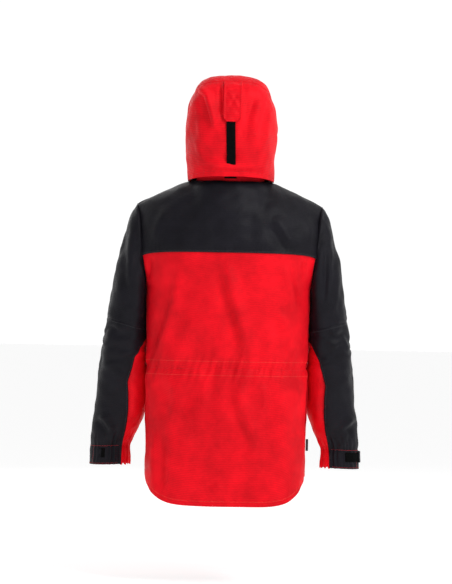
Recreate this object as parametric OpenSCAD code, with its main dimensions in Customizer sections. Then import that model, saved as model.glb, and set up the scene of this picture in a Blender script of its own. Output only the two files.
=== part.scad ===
// Foul weather jacket with a roll-back hood, front zip under a storm flap,
// patch pockets, waist drawcord and adjustable cuffs.
// Frame: millimetres, +Z up, wearer faces -Y, wearer's left is +X.
// Origin: on the neck seam, behind the middle of the hang loop.

/* [Body] */
// Half width of the body at the hem
hem_half_w = 209; // [190:1:225]
// Half width of the body at the chest, below the armholes
chest_half_w = 215; // [200:1:217]
// Depth from the middle of the body to the back
back_depth = 125; // [110:1:135]
// Height of the lowest point of the dropped back hem
back_hem_z = -841; // [-900:1:-800]
// Height of the front hem and of the side ends of the back hem
front_hem_z = -766; // [-800:1:-740]
// Roundness of the body's cross section
body_n = 2.5; // [2.2:0.1:3]

/* [Shoulders] */
// Half width between the shoulder seams' outer ends
shoulder_half_w = 243; // [230:1:255]
// Height of the shoulder seams' outer ends
shoulder_z = -62; // [-80:1:-50]
// Height of the bottom of the back yoke
yoke_z = -181; // [-200:1:-170]
// Height of the armpit
armpit_z = -275; // [-290:1:-260]
// Half depth of the armhole
armhole_half_d = 58; // [50:1:64]

/* [Neck] */
// Half width of the neck opening
neck_half_w = 95; // [85:1:100]
// Height of the collar at the back
collar_h = 62; // [50:1:70]

/* [Hood] */
// Half width of the hood
hood_half_w = 119; // [112:1:124]
// Height of the hood's crown
hood_top_z = 277; // [260:1:290]

/* [Fabric] */
// Thickness of the outer fabric with its seams
fabric_t = 2; // [1.5:0.1:2.5]
// Thickness of the lining
lining_t = 1; // [0.8:0.1:1.2]

/* [Front] */
// Angle by which the zip leans back from upright
zip_tilt = 3.5; // [2:0.5:5]
// Width of the storm flap
flap_w = 66; // [60:1:72]
// Number of press studs on the storm flap
stud_count = 5; // [4:1:6]

/* [Hidden] */
$fn = 32;

red = "#e02018";
black = "#1c1c20";
mid_y = -85;          // middle of the body, front to back
front_top_y = -165;   // front of the zip at the top of the collar
front_top_z = 20;     // height at which front_top_y holds
seam_deg = 0.9;       // half the angle left open at a seam along a sleeve
zip_edge_x = 9;       // where each front panel ends beside the zip
zip_low_z = -748;     // bottom of the zip
zip_high_z = -3;      // top of the zip
neck_front_z = -60;   // height of the front of the neck seam
neck_side_z = 4;      // height of the neck seam at the side
neck_side_y = -74;    // place of the neck seam's side point, front to back
u_neck = 0.3;         // share of a half panel that ends at the neck
waist_z = -490;
hip_z = -620;

// ---- numbers and curves ----
function mix(a, b, t) = a + (b - a) * t;
function unit(v) = v / norm(v);
function smooth(t) = let (c = max(0, min(1, t))) c * c * (3 - 2 * c);
function steps(n) = [for (i = [0:n]) i / n];
// Point of a rounded square of unit size, angle b from the depth direction: [across, depth]
function squircle(b, n) =
    let (k = pow(pow(abs(cos(b)), n) + pow(abs(sin(b)), n), -1 / n)) [k * sin(b), k * cos(b)];
// Angle at which a rounded square is share deep
function squircle_angle(share, n) = share <= 0.001 ? 90 : atan(pow(pow(share, -n) - 1, 1 / n));

// ---- shells built on grids of points ----
// Outward normal of a grid whose rows go up and whose columns go clockwise seen from above
function grid_normal(g, i, j, closed) =
    let (
        n_i = len(g), n_j = len(g[0]),
        up = g[min(i + 1, n_i - 1)][j] - g[max(i - 1, 0)][j],
        j1 = closed ? (j + 1) % n_j : min(j + 1, n_j - 1),
        j0 = closed ? (j + n_j - 1) % n_j : max(j - 1, 0)
    ) unit(cross(up, g[i][j1] - g[i][j0]));
function lifted(g, h, closed = false) =
    [for (i = [0:len(g) - 1]) [for (j = [0:len(g[0]) - 1]) g[i][j] + h * grid_normal(g, i, j, closed)]];
function flat_list(g) = [for (row = g) each row];
// A closed sheet of thickness t under the grid, raised by lift
module shell(g, t, lift = 0, closed = false) {
    rows = len(g);
    cols = len(g[0]);
    n = rows * cols;
    pts = concat(flat_list(lifted(g, lift, closed)), flat_list(lifted(g, lift - t, closed)));
    last = closed ? cols - 1 : cols - 2;
    faces = concat(
        [for (i = [0:rows - 2], j = [0:last])
            let (a = i * cols + j, b = i * cols + (j + 1) % cols, c = b + cols, d = a + cols)
            each [[a, b, c], [a, c, d], [a + n, c + n, b + n], [a + n, d + n, c + n]]],
        [for (j = [0:last])
            let (a = j, b = (j + 1) % cols, e = (rows - 1) * cols, d = e + a, c = e + b)
            each [[b, a, a + n], [b, a + n, b + n], [d, c, c + n], [d, c + n, d + n]]],
        closed ? [] : [for (i = [0:rows - 2])
            let (a = i * cols, d = a + cols, b = a + cols - 1, c = b + cols)
            each [[a, d, d + n], [a, d + n, a + n], [c, b, b + n], [c, b + n, c + n]]]
    );
    polyhedron(points = pts, faces = faces, convexity = 8);
}

// ---- body ----
function front_y(z) = front_top_y - (front_top_z - z) * tan(zip_tilt);
function half_w(z) = lookup(z, [
    [back_hem_z, hem_half_w], [waist_z, mix(hem_half_w, chest_half_w, 0.4)],
    [armpit_z, chest_half_w], [yoke_z, shoulder_half_w + 1]
]);
function back_d(z) = lookup(z, [
    [back_hem_z, back_depth - 13], [hip_z, back_depth - 6], [waist_z, back_depth - 14], [-200, back_depth + 2]
]);
function depth(z, side) = side > 0 ? back_d(z) : mid_y - front_y(z);
// Half the armhole's depth at height z, nothing below the armpit
function armhole_d(z) = z <= armpit_z ? 0
    : armhole_half_d * sqrt(max(0, 1 - pow(max(0, yoke_z - z) / (yoke_z - armpit_z), 2)));
function edge_angle(z, side) = squircle_angle(armhole_d(z) / depth(z, side), body_n);
// Point of the body below the yoke: b is the angle from the middle of the back (side 1) or front (side -1)
function body_point(z, b, side) =
    let (p = squircle(b, body_n)) [half_w(z) * p[0], mid_y + side * depth(z, side) * p[1], z];
// The back hem is level across the middle and turns up in a round corner at each side
function back_hem(u) =
    let (share = squircle(90 * abs(u), body_n)[0])
    mix(front_hem_z, back_hem_z, pow(max(0, 1 - pow(share, 6)), 0.7));
function front_hem(u) = front_hem_z - 6 * (1 - u * u);
function hem_z(u, side) = side > 0 ? back_hem(u) : front_hem(u);
yoke_dip = 12;        // how much lower the yoke seam is at its ends
function yoke_seam(u) = yoke_z - yoke_dip * pow(abs(u), 4);
// Point between hem (v 0) and yoke seam (v 1); u runs from -1 to 1 across the back or the front
function lower_point(u, v, side) =
    let (z = mix(hem_z(u, side), yoke_seam(u), v)) body_point(z, u * edge_angle(z, side), side);
// Neck seam and shoulder seam, the top edge of the yokes
function yoke_top(u, side) =
    let (a = abs(u), q = a / u_neck, r = (a - u_neck) / (1 - u_neck), low = side > 0 ? 0 : neck_front_z,
         mid = side > 0 ? 4 : front_y(neck_front_z))
    a < u_neck
        ? [sign(u) * neck_half_w * q, mix(neck_side_y, mid, sqrt(1 - q * q)),
           mix(neck_side_z, low, pow(1 - q * q, 0.75))]
        : [sign(u) * mix(neck_half_w, shoulder_half_w, r), mix(neck_side_y, mid_y, r),
           mix(neck_side_z, shoulder_z, pow(r, 1.2))];
// Point between yoke seam (s 0) and yoke top (s 1); the front yokes lie flat beside the zip
function yoke_point(u, s, side) =
    let (a = lower_point(u, 1, side), b = yoke_top(u, side), c = cos(90 * s), d = sin(90 * s),
         e = side > 0 ? c : mix(1 - d, c, smooth((abs(u) - 0.1) / 0.5)))
    [mix(b[0], a[0], c), mix(b[1], a[1], e), mix(a[2], b[2], d)];
function lower_grid(us, vs, side) = [for (v = vs) [for (u = us) lower_point(u, v, side)]];
function yoke_grid(us, ss, side) = [for (s = ss) [for (u = us) yoke_point(u, s, side)]];
// Rows from hem to yoke, closer together round the armhole
rows_up = [0, 0.14, 0.28, 0.42, 0.56, 0.7, 0.8, 0.86, 0.9, 0.95, 0.997];
// Share of the half front at which the panel ends beside the zip
u_zip = zip_edge_x / 265;
function span(a, b, n) = [for (t = steps(n)) mix(a, b, t)];

module back_panel() {
    color(red) shell(lower_grid(span(-0.996, 0.996, 20), rows_up, 1), fabric_t);
}
module back_yoke() {
    color(black) shell(yoke_grid(span(-0.99, 0.99, 20), span(0, 0.99, 6), 1), fabric_t);
}
module front_panel() {
    color(red) shell(lower_grid(span(0.996, u_zip, 9), rows_up, -1), fabric_t);
}
module front_yoke() {
    color(black) shell(yoke_grid(span(0.99, u_zip, 9), span(0, 0.99, 6), -1), fabric_t);
}

// ---- collar ----
// Point of the collar: a is the angle from the back, h the share of its height
function collar_point(a, h) =
    let (s = sin(a), c = cos(a), mid = -78, w = mix(neck_half_w - 6, neck_half_w - 16, h),
         base = c > 0 ? mix(neck_side_z + 3, 3, c) : mix(neck_side_z + 3, neck_front_z + 3, pow(-c, 1.5)),
         z = base + h * mix(collar_h, 54, (1 - c) / 2),
         d = c > 0 ? mix(78, 70, h) : mid - front_y(z))
    [w * s, mid + d * c, z];
module collar() {
    ends = 173;
    grid = [for (h = steps(3)) [for (a = span(-ends, ends, 30)) collar_point(a, h)]];
    color(red) shell(grid, fabric_t + 0.6);
}

// ---- inner pieces of the body ----
lining_room = fabric_t + 2.5;   // how far the lining lies inside the outer face
// Rows of points round the body that stop b degrees short of the middle of the front
function around(zs, b) = [for (z = zs) concat(
    [for (k = span(-b, -81, 8)) body_point(z, k, -1)],
    [for (k = span(-90, 90, 20)) body_point(z, k, 1)],
    [for (k = span(81, b, 8)) body_point(z, k, -1)]
)];
module body_lining() {
    color("#30343c") shell(around(span(-735, -290, 6), 8), lining_t, -lining_room);
}
channel_z = waist_z - 1;   // middle of the waist channel
channel_h = 22;
channel_room = 11; // how far the channel's inner strip lies inside the fabric
module waist_channel() {
    color(red) shell(around([channel_z - channel_h / 2, channel_z + channel_h / 2], 42), 1, -channel_room);
}

// ---- cords ----
// Ring of points round a route's point, in the plane across its direction
function ring(p, dir, r, sides) =
    let (a = unit(cross(dir, [0, 0, 1])), b = unit(cross(a, dir)))
    [for (k = [0:sides - 1]) p + r * (cos(360 * k / sides) * a + sin(360 * k / sides) * b)];
module cord(route, r, sides = 8) {
    n = len(route);
    pts = flat_list([for (i = [0:n - 1])
        ring(route[i], route[min(i + 1, n - 1)] - route[max(i - 1, 0)], r, sides)]);
    polyhedron(points = pts, convexity = 4, faces = concat(
        [[for (k = [0:sides - 1]) k]],
        [[for (k = [sides - 1:-1:0]) (n - 1) * sides + k]],
        [for (i = [0:n - 2], k = [0:sides - 1])
            let (a = i * sides + k, b = i * sides + (k + 1) % sides)
            each [[a, a + sides, b + sides], [a, b + sides, b]]]
    ));
}
cord_r = 1.5;
cord_in = 8;        // how far the cord lies inside the fabric
lock_b = 30;        // angle from the middle of the front at which the cord leaves the channel
function waist_ring(b, side) =
    let (g = [for (z = [channel_z - 1, channel_z + 1]) [for (d = [-1, 0, 1]) body_point(z, b + d, side)]])
    (g[0][1] + g[1][1]) / 2 - side * cord_in * grid_normal(g, 0, 1, false);
lock_end = waist_ring(lock_b, -1);
lock_x = 72;
function tail(side) = [[side * 44, lock_end[1], lock_end[2]], [side * lock_x, lock_end[1], lock_end[2]]];
waist_route = concat(
    tail(-1),
    [for (b = span(-lock_b, -86, 9)) waist_ring(b, -1)],
    [for (b = span(-86, 86, 26)) waist_ring(b, 1)],
    [for (b = span(86, lock_b, 9)) waist_ring(b, -1)],
    [tail(1)[1], tail(1)[0]]
);
module waist_drawcord() {
    color(black) cord(waist_route, cord_r);
}
// Cord lock: a barrel across the end of the cord, its plunger pressed down along Z
lock_r = 7;
lock_h = 18;
bore_r = 5;
plunger_r = 4.7;
plunger_travel = 3;
module at_lock() {
    translate([lock_x, lock_end[1], lock_end[2]]) children();
}
module cord_lock() {
    color(black) at_lock() difference() {
        translate([0, 0, -lock_h / 2]) cylinder(r = lock_r, h = lock_h);
        translate([0, 0, -lock_h / 2 + 1.6]) cylinder(r = bore_r, h = lock_h);
        rotate([0, 90, 0]) cylinder(r = cord_r + 0.8, h = 4 * lock_r, center = true);
    }
}
module lock_plunger() {
    color("#3a3a40") at_lock() difference() {
        union() {
            translate([0, 0, -4]) cylinder(r = plunger_r, h = 17.5);
            translate([0, 0, 12.5]) cylinder(r = lock_r - 0.6, h = 2.5);
        }
        hull() for (z = [0, plunger_travel]) translate([0, 0, z])
            rotate([0, 90, 0]) cylinder(r = cord_r + 0.8, h = 4 * lock_r, center = true);
    }
}
module lock_spring() {
    turns = 3;
    color("silver") at_lock() translate([0, 0, -6.9]) for (i = [0:turns - 1])
        translate([0, 0, i]) rotate_extrude() translate([3.2, 0]) circle(r = 0.35, $fn = 16);
}

// ---- small pieces at the neck and side ----
module hang_loop() {
    w = 60;
    bar = 5;
    reach = 6.4;
    foot = 10;
    t = 1.4;
    color(black) translate([0, -9, 0]) difference() {
        translate([-w / 2, 0, -bar / 2]) cube([w, reach, bar]);
        translate([foot - w / 2, t, -bar]) cube([w - 2 * foot, reach, 2 * bar]);
    }
}
module side_label() {
    p = body_point(-684, 88, -1);
    color(black) translate([-p[0] - 7, mid_y - 6, -699]) cube([6.4, 1.2, 31]);
}
module nape_patch() {
    p = collar_point(0, 0.16);
    color(black) translate([-16, p[1] + 0.5, p[2] - 4.5]) cube([32, 1.6, 9]);
}

// ---- front zip, in a frame that follows the zip: outwards is -Y ----
module on_zip(z) {
    translate([0, front_y(z), z]) rotate([-zip_tilt, 0, 0]) children();
}
zip_len = (zip_high_z - zip_low_z) / cos(zip_tilt);
tape_t = 0.8;
tape_y = 5.6;      // middle of the tape, behind the front of the panels
pitch = 5;
tooth = 1.9;
teeth_t = 2.4;
slider_len = 16;
module zip_tape() {
    color(black) on_zip(zip_low_z) translate([3.5, tape_y - tape_t / 2, 0]) cube([12, tape_t, zip_len]);
}
// One side's teeth, cut as one comb
module comb(first) {
    n = floor((zip_len - slider_len - 6) / pitch);
    outline = concat(
        [[3.4, 2]],
        [for (k = [0:n - 1]) let (z = 4 + first + k * pitch)
            each [[1.6, z - tooth / 2], [-1.3, z - tooth / 2],
                [-1.3, z + tooth / 2], [1.6, z + tooth / 2]]],
        [[3.4, 6 + n * pitch]]
    );
    on_zip(zip_low_z) translate([0, tape_y + teeth_t / 2, 0]) rotate([90, 0, 0])
        linear_extrude(teeth_t) polygon(outline);
}
module zip_teeth_left() {
    color(black) comb(0);
}
module zip_teeth_right() {
    color(black) mirror([1, 0, 0]) comb(pitch / 2);
}
module zip_bottom_box() {
    color(black) on_zip(zip_low_z) difference() {
        translate([-7, tape_y - 2.6, -9]) cube([14, 5.2, 8.6]);
        translate([2, tape_y - 1, -6]) cube([3, 2, 8]);
    }
}
plate_t = 1.4;
slider_gap = teeth_t / 2 + 0.35;
module slider_plate() {
    linear_extrude(plate_t) hull() {
        translate([-5.2, 0]) square([10.4, 1]);
        for (x = [-4.4, 4.4]) translate([x, slider_len - 3]) circle(r = 2);
    }
}
module at_slider() {
    on_zip(zip_high_z - slider_len - 2) translate([0, tape_y, 0]) children();
}
lug_z = slider_len - 5;
lug_y = -(slider_gap + plate_t + 2.2);   // middle of the lug that holds the puller
module zip_slider() {
    color("#26262a") at_slider() {
        difference() {
            union() {
                translate([0, -slider_gap, 0]) rotate([90, 0, 0]) slider_plate();
                translate([-1.2, lug_y - 1.8, lug_z - 3]) cube([2.4, 4.2, 6]);
            }
            translate([0, lug_y, lug_z]) rotate([0, 90, 0]) cylinder(r = 1.2, h = 6, center = true);
        }
        translate([0, slider_gap + plate_t, 0]) rotate([90, 0, 0]) slider_plate();
        translate([0, 0, slider_len - 2.6]) rotate([90, 0, 0])
            cylinder(r = 1.4, h = 2 * slider_gap + 0.2, center = true);
    }
}
module zip_puller() {
    arm = 2;
    color("#26262a") at_slider() translate([0, lug_y, lug_z]) {
        rotate([0, 90, 0]) cylinder(r = 0.9, h = 7, center = true);
        for (x = [-3.5, 1.5]) translate([x, -0.9, -8]) cube([arm, 1.8, 8]);
        difference() {
            translate([-3.5, -0.9, -34]) cube([7, 1.8, 26]);
            translate([0, 0, -30]) rotate([90, 0, 0]) cylinder(r = 1.8, h = 6, center = true);
        }
    }
}

// ---- storm flap: sewn at the wearer's left, free edge at the right ----
flap_x = 36;
flap_t = 1.8;
flap_high_z = -56;
flap_low = 8;
flap_rise = 9.4;
// Outer face of the flap: flat at both edges, raised over the zip
function flap_line(t) =
    let (x = mix(flap_x, flap_x - flap_w, t), rise = smooth((22 - x) / 12) * smooth((x + 15) / 9))
    [x, -2.6 - flap_rise * rise - 2.4 * smooth(t * 2)];
flap_len = (flap_high_z - zip_low_z) / cos(zip_tilt);
module storm_flap() {
    outer = [for (t = steps(22)) flap_line(t)];
    color(red) on_zip(zip_low_z) translate([0, 0, flap_low]) linear_extrude(flap_len - flap_low)
        polygon(concat(outer, [for (k = [len(outer) - 1:-1:0]) outer[k] + [0, flap_t]]));
}
snap_x = -22.5;
snap_y = -2.6 - 2.4;
module at_snaps(y) {
    for (k = [0:stud_count - 1]) on_zip(zip_low_z)
        translate([snap_x, y, 50 + k * (flap_len - 90) / (stud_count - 1)]) rotate([90, 0, 0]) children();
}
module flap_snap_caps() {
    color("#2c2c30") at_snaps(snap_y - 0.05) {
        cylinder(r = 6.5, h = 1.2);
        translate([0, 0, 1.2]) cylinder(r1 = 6.5, r2 = 5, h = 0.8);
    }
    color("silver") at_snaps(snap_y + flap_t + 0.05) mirror([0, 0, 1]) difference() {
        cylinder(r = 4.8, h = 1.6);
        translate([0, 0, 0.2]) cylinder(r = 2.6, h = 2);
    }
}
module front_snap_studs() {
    color("silver") at_snaps(-0.1) {
        cylinder(r = 5.5, h = 0.9);
        cylinder(r = 2.2, h = 2.4);
    }
}

// ---- patch pockets with flaps ----
pocket_b0 = 17;
pocket_b1 = 54;
pocket_low = -700;
pocket_high = -545;
pocket_room = 12;
// Point of the pocket's face: it stands off the front and closes at its sides and foot
function pocket_point(p, q) =
    let (z = mix(pocket_low, pocket_high, q), b = mix(pocket_b1, pocket_b0, p),
         a = body_point(z, b, -1), out = unit([a[0] * 0.35, a[1] - mid_y, 0]),
         rise = pocket_room * min(1, 7 * p, 7 * (1 - p), 6 * q))
    a + (rise + 0.3 + fabric_t) * out;
module pocket() {
    grid = [for (q = steps(9)) [for (p = steps(14)) pocket_point(p, q)]];
    color(red) shell(grid, fabric_t - 0.4);
}
flap_top = pocket_high + 16;
function pocket_flap_point(p, q) =
    let (z = mix(flap_top - 62, flap_top, q), b = mix(pocket_b1 + 1, pocket_b0 - 1, p),
         a = body_point(z, b, -1), out = unit([a[0] * 0.35, a[1] - mid_y, 0]))
    a + mix(pocket_room + 5.5, 4.5, smooth(4 * q - 3)) * out;
module pocket_flap() {
    grid = [for (q = steps(5)) [for (p = steps(8)) pocket_flap_point(p, q)]];
    color(red) shell(grid, fabric_t);
}

// ---- hood: arches that all end at the throat ----
throat_y = -152;
throat_z = -5;
hood_profile_y = [
    [0, 38], [0.12, 54], [0.3, 66], [0.45, 62], [0.58, 44],
    [0.7, 2], [0.8, -52], [0.9, -112], [1, -160]
];
hood_profile_z = [
    [0, 12], [0.12, 58], [0.3, 132], [0.45, 196], [0.58, hood_top_z - 33],
    [0.7, hood_top_z - 4], [0.8, hood_top_z], [0.9, hood_top_z - 6], [1, hood_top_z - 24]
];
function hood_n(a) = lookup(a, [[0, 2.6], [0.3, 3.2], [0.6, 4.2], [1, 3.4]]);
// Point of the hood: a runs from the neck edge to the face edge, b is the angle across an arch
function hood_point(a, b) =
    let (p = squircle(b, hood_n(a)), y = lookup(a, hood_profile_y), z = lookup(a, hood_profile_z),
         w = hood_half_w * mix(0.62, 1, smooth(p[1] / 0.5)))
    [w * p[0], mix(throat_y, y, p[1]), mix(throat_z, z, p[1])];
function hood_grid(rows, b, cols) = [for (a = rows) [for (c = span(-b, b, cols)) hood_point(a, c)]];
hood_b = 84;
crown_a = 0.62;      // where the seam between back and crown crosses
back_rows = [0, 0.06, 0.12, 0.21, 0.3, 0.375, 0.45, 0.515, 0.58, crown_a];
crown_rows = [crown_a + 0.004, 0.66, 0.7, 0.75, 0.8, 0.85, 0.9, 0.95, 1];
lining_rows = [0.03, 0.12, 0.21, 0.3, 0.375, 0.45, 0.515, 0.58, 0.64, 0.7, 0.8, 0.9, 0.97];
module hood_back() {
    color(red) shell(hood_grid(back_rows, hood_b, 18), fabric_t);
}
module hood_crown() {
    color(red) shell(hood_grid(crown_rows, hood_b, 18), fabric_t);
}
module hood_lining() {
    color("#30343c") shell(hood_grid(lining_rows, hood_b - 3, 18), lining_t, -lining_room);
}
function brim_point(b, t) =
    let (a = hood_point(1, b), reach = 34 * cos(b * 1.25))
    a + t * reach * unit([0, -1, -0.12]) + [0, -0.6, -0.8];
module hood_brim() {
    color(red) shell([for (t = span(1, 0, 2)) [for (b = span(62, -62, 12)) brim_point(b, t)]], 2.4);
}
// A strip laid on the middle of the hood's back
function strip_grid(rows, half) =
    [for (a = rows) [for (x = [-half, half])
        let (p = hood_point(a, 0)) [x, p[1] - 0.0012 * x * x, p[2]]]];
module hood_strip() {
    color(black) shell(strip_grid([0.055, 0.12, 0.21, 0.3, 0.375, 0.45, 0.5], 11), 1.2, 1.6);
}
module hood_tab() {
    color(red) shell(strip_grid([0.345, 0.4, 0.45, 0.515, 0.58, 0.615], 24), 1.4, 5.2);
}
module hood_tab_hook() {
    color(black) shell(strip_grid([0.36, 0.4, 0.45, 0.46], 10), 0.9, 3.1);
}
module hood_eyelets() {
    color("silver") for (b = [-68, 68]) {
        p = hood_point(0.94, b);
        n = unit([p[0], 0, 0]);
        translate(p + 0.4 * n) rotate([0, n[0] * 90, 0]) difference() {
            cylinder(r = 5, h = 1.2);
            translate([0, 0, -1]) cylinder(r = 2.4, h = 4);
        }
    }
}

// ---- sleeves, drawn for the wearer's left and mirrored ----
// Stations down the sleeve: [outer x, outer z, inner x, inner z, middle y, half depth]
sleeve = [
    [shoulder_half_w, shoulder_z, chest_half_w + 2, armpit_z, mid_y, armhole_half_d],
    [262, -92, 222, -292, -86, 62],
    [276, -150, 223, -312, -88, 65],
    [292, -215, 222, -340, -92, 67],
    [304, -290, 221, -362, -97, 68],
    [314, -356, 221, -384, -104, 68],
    [326, -450, 218, -462, -118, 66],
    [334, -520, 211, -528, -130, 64],
    [340, -580, 208, -584, -141, 62],
    [348, -640, 226, -640, -152, 58],
    [352, -697, 250, -694, -163, 50],
    [355, -748, 250, -744, -168, 51]
];
front_dip = 19;      // how far the front of the armhole lies inside the sleeve's oval
function station(s) =
    let (i = min(floor(s), len(sleeve) - 2)) mix(sleeve[i], sleeve[i + 1], s - i);
// Point of the sleeve: f is the angle from the back, 90 at the outer side, 270 at the inner side
function sleeve_point(s, f) =
    let (
        k = station(s), half_x = (k[0] - k[2]) / 2, half_z = (k[1] - k[3]) / 2,
        dip = front_dip * pow(min(0, cos(f)), 2) * (1 - smooth(s / 2))
    ) [k[2] + half_x * (1 + sin(f)) - dip, k[4] + k[5] * cos(f), k[3] + half_z * (1 + sin(f))];
// Half the angle that the inner panel takes, about the inner side
function inner_half(s) = lookup(s, [
    [5, 10], [5.5, 36], [6, 58], [7, 77], [8, 75], [9, 65], [10, 54], [11, 58]
]);
function tube_grid(s0, s1, rows, cols) =
    [for (s = span(s1, s0, rows)) [for (k = [0:cols - 1]) sleeve_point(s, 360 * k / cols)]];
function part_grid(stations, cols, f0, f1) =
    [for (s = stations) [for (t = steps(cols)) sleeve_point(s, mix(f0(s), f1(s), t))]];
lower_stations = [11, 10.5, 10, 9, 8, 7, 6.42];
module sleeve_head() {
    color(black) shell(tube_grid(0.08, 1.96, 4, 24), fabric_t, 0, true);
}
module upper_sleeve() {
    color(black) shell(tube_grid(2, 4.98, 5, 24), fabric_t, 0, true);
}
module elbow() {
    color(black) shell(tube_grid(5.02, 6.38, 4, 24), fabric_t, 0, true);
}
module lower_sleeve_outer() {
    color(black) shell(part_grid(lower_stations, 16,
        function(s) -90 + inner_half(s) + seam_deg, function(s) 270 - inner_half(s) - seam_deg), fabric_t);
}
module lower_sleeve_inner() {
    color(red) shell(part_grid(lower_stations, 10,
        function(s) -90 - inner_half(s), function(s) -90 + inner_half(s)), fabric_t);
}
module cuff_elastic() {
    color("#3a3a40") shell(tube_grid(10.1, 10.9, 2, 24), 1.2, -lining_room, true);
}
// Cuff tab: sewn at the front of the cuff, its free end on the loop patch at the outer back
function cuff_band(s0, s1, f0, f1, n) =
    [for (s = [s1, s0]) [for (f = span(f0, f1, n)) sleeve_point(s, f)]];
module cuff_loop() {
    color(black) shell(cuff_band(10.14, 10.6, 18, 84, 6), 1, 2);
}
module cuff_tab() {
    color(black) shell(cuff_band(10.1, 10.64, 66, 150, 9), 1.6, 4.1);
}
module mirrored() {
    mirror([1, 0, 0]) children();
}

back_panel();
back_yoke();
front_panel();  // front_panel_left
mirrored() front_panel();  // front_panel_right
front_yoke();  // front_yoke_left
mirrored() front_yoke();  // front_yoke_right
collar();
body_lining();
waist_channel();
waist_drawcord();
cord_lock();  // cord_lock_left
mirrored() cord_lock();  // cord_lock_right
lock_plunger();  // lock_plunger_left
mirrored() lock_plunger();  // lock_plunger_right
lock_spring();  // lock_spring_left
mirrored() lock_spring();  // lock_spring_right
hang_loop();
side_label();
nape_patch();
zip_tape();  // zip_tape_left
mirrored() zip_tape();  // zip_tape_right
zip_teeth_left();
zip_teeth_right();
zip_bottom_box();
zip_slider();
zip_puller();
storm_flap();
flap_snap_caps();
front_snap_studs();
pocket();  // pocket_left
mirrored() pocket();  // pocket_right
pocket_flap();  // pocket_flap_left
mirrored() pocket_flap();  // pocket_flap_right
hood_back();
hood_crown();
hood_brim();
hood_lining();
hood_strip();
hood_tab();
hood_tab_hook();
hood_eyelets();
sleeve_head();  // sleeve_head_left
mirrored() sleeve_head();  // sleeve_head_right
upper_sleeve();  // upper_sleeve_left
mirrored() upper_sleeve();  // upper_sleeve_right
elbow();  // elbow_left
mirrored() elbow();  // elbow_right
lower_sleeve_outer();  // lower_sleeve_outer_left
mirrored() lower_sleeve_outer();  // lower_sleeve_outer_right
lower_sleeve_inner();  // lower_sleeve_inner_left
mirrored() lower_sleeve_inner();  // lower_sleeve_inner_right
cuff_elastic();  // cuff_elastic_left
mirrored() cuff_elastic();  // cuff_elastic_right
cuff_loop();  // cuff_loop_left
mirrored() cuff_loop();  // cuff_loop_right
cuff_tab();  // cuff_tab_left
mirrored() cuff_tab();  // cuff_tab_right
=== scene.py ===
import math

import bpy
import numpy as np
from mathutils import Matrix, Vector


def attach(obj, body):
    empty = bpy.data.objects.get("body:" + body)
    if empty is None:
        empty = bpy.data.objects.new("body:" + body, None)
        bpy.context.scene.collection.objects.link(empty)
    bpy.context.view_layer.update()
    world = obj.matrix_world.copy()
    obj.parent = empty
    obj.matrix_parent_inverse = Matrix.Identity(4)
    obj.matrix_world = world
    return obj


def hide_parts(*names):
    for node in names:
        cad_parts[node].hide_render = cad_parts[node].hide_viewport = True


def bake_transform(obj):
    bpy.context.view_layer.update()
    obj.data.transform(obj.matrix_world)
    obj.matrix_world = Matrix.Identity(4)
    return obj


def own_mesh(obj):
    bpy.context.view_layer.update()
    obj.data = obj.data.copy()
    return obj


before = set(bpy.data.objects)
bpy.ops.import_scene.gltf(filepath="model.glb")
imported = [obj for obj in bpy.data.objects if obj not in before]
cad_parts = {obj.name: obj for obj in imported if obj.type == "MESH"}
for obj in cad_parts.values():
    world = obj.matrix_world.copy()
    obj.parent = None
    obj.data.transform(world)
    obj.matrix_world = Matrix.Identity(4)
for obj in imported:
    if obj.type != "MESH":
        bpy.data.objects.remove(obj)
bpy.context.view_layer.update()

MM = 0.001
CELL = 3.0

# ---------------------------------------------------------------- numbers and curves, in millimetres


def mix(a, b, t):
    return a + (b - a) * t


def smooth(t):
    t = np.clip(t, 0, 1)
    return t * t * (3 - 2 * t)


def bell(d, width):
    """1 at distance 0, falling to nothing a few widths away."""
    return np.exp(-((d / width) ** 2))


def cosd(a):
    return np.cos(np.radians(a))


def sind(a):
    return np.sin(np.radians(a))


def curve(x, table):
    """Smooth curve through the table's points."""
    xs, ys = np.array(table, float).T
    slope = np.gradient(ys, xs)
    i = np.clip(np.searchsorted(xs, x, side="right") - 1, 0, len(xs) - 2)
    h = xs[i + 1] - xs[i]
    t = np.clip((x - xs[i]) / h, 0, 1)
    return (
        (2 * t**3 - 3 * t**2 + 1) * ys[i]
        + (t**3 - 2 * t**2 + t) * h * slope[i]
        + (-2 * t**3 + 3 * t**2) * ys[i + 1]
        + (t**3 - t**2) * h * slope[i + 1]
    )


MID_Y = -85.0
ZIP_TILT = math.radians(3.5)
YOKE_Z, ARMPIT_Z, HEM_Z, SIDE_HEM_Z = -181.0, -275.0, -841.0, -766.0
SHOULDER = (243.0, MID_Y, -62.0)
NECK = (95.0, -74.0, 4.0)
ARM_D = 58.0            # half the depth of the armhole
FRONT_TOP = (-165, 20)  # front to back, and height, of the zip at the top of the collar
YOKE_DIP = 12           # how much lower the yoke seam is at its ends
U_NECK = 0.3            # share of half a yoke that ends at the neck
WAIST_Z = -490


def front_y(z):
    return FRONT_TOP[0] - (FRONT_TOP[1] - z) * math.tan(ZIP_TILT)


def half_w(z):
    return np.interp(z, [HEM_Z, WAIST_Z, ARMPIT_Z, YOKE_Z], [209, 211.4, 215, 244])


def back_d(z):
    return np.interp(z, [HEM_Z, -620, WAIST_Z, -200], [112, 119, 111, 127])


def depth(z, side):
    return back_d(z) if side > 0 else MID_Y - front_y(z)


def squircle(b, n=2.5):
    s, c = sind(b), cosd(b)
    k = (np.abs(c) ** n + np.abs(s) ** n) ** (-1 / n)
    return k * s, k * c


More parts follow.
